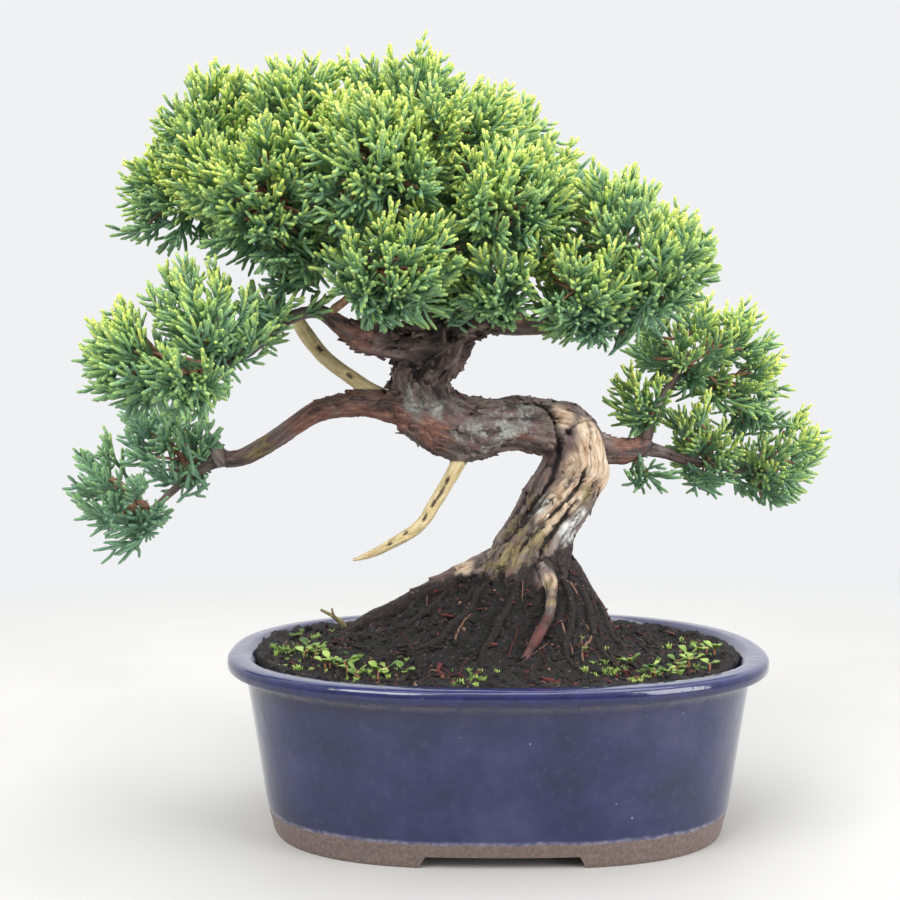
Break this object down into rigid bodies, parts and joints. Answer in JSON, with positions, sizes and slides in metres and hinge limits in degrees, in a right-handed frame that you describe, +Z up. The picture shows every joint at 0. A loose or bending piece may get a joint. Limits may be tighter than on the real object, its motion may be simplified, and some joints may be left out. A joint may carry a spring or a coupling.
{
  "type": "chinese juniper bonsai",
  "caption": "Small juniper bonsai with a bent trunk, bleached deadwood stubs and pads of scale-leaved shoots, growing in dark soil in an oval glazed pot.",
  "frame": {"origin": "on the ground, under the middle of the box round the whole plant; the pot's own centre lies a little towards +X", "axes": "+Z up, -Y towards the front of the bonsai, +X towards the viewer's right, along the pot's long side"},
  "size_m": [0.2712, 0.1416, 0.2599],
  "materials": {
    "glaze": "glossy mottled violet-blue glaze over unglazed grey-brown clay feet",
    "netting": "matte",
    "soil": "dark gritty granules",
    "bark": "flaking grey-brown bark with straw-coloured deadwood",
    "foliage": "soft satin green shoots with yellow-green tips",
    "seedling": "satin bright green leaves",
    "dead_twig": "dry matte"
  },
  "bodies": {
    "root": {"pot": "glaze", "drain_mesh_left": "netting", "drain_mesh_right": "netting", "soil": "soil", "tree": "bark", "foliage_crown_apex": "foliage", "foliage_crown_north": "foliage", "foliage_crown_north_west": "foliage", "foliage_crown_west": "foliage", "foliage_crown_north_east": "foliage", "foliage_crown_east": "foliage", "foliage_crown_front": "foliage", "foliage_crown_front_left": "foliage", "foliage_crown_front_right": "foliage", "foliage_crown_low_front": "foliage", "foliage_crown_low_right": "foliage", "foliage_back_north_west": "foliage", "foliage_back_north": "foliage", "foliage_back_north_east": "foliage", "foliage_back_middle": "foliage", "foliage_back_east": "foliage", "foliage_back_low": "foliage", "foliage_shoulder_tip": "foliage", "foliage_shoulder_top": "foliage", "foliage_shoulder_front": "foliage", "foliage_shoulder_back": "foliage", "foliage_shelf_top": "foliage", "foliage_shelf_tip": "foliage", "foliage_shelf_inner": "foliage", "foliage_shelf_low": "foliage", "foliage_west_top": "foliage", "foliage_west_low": "foliage", "foliage_west_tip": "foliage", "foliage_east_top": "foliage", "foliage_east_crest": "foliage", "foliage_east_side": "foliage", "foliage_east_tip": "foliage", "foliage_east_low": "foliage", "foliage_east_inner": "foliage", "foliage_east_tuft": "foliage", "seedling_1": "seedling", "seedling_2": "seedling", "seedling_3": "seedling", "seedling_4": "seedling", "seedling_5": "seedling", "seedling_6": "seedling", "dead_twig": "dead_twig"}
  },
  "joints": []
}
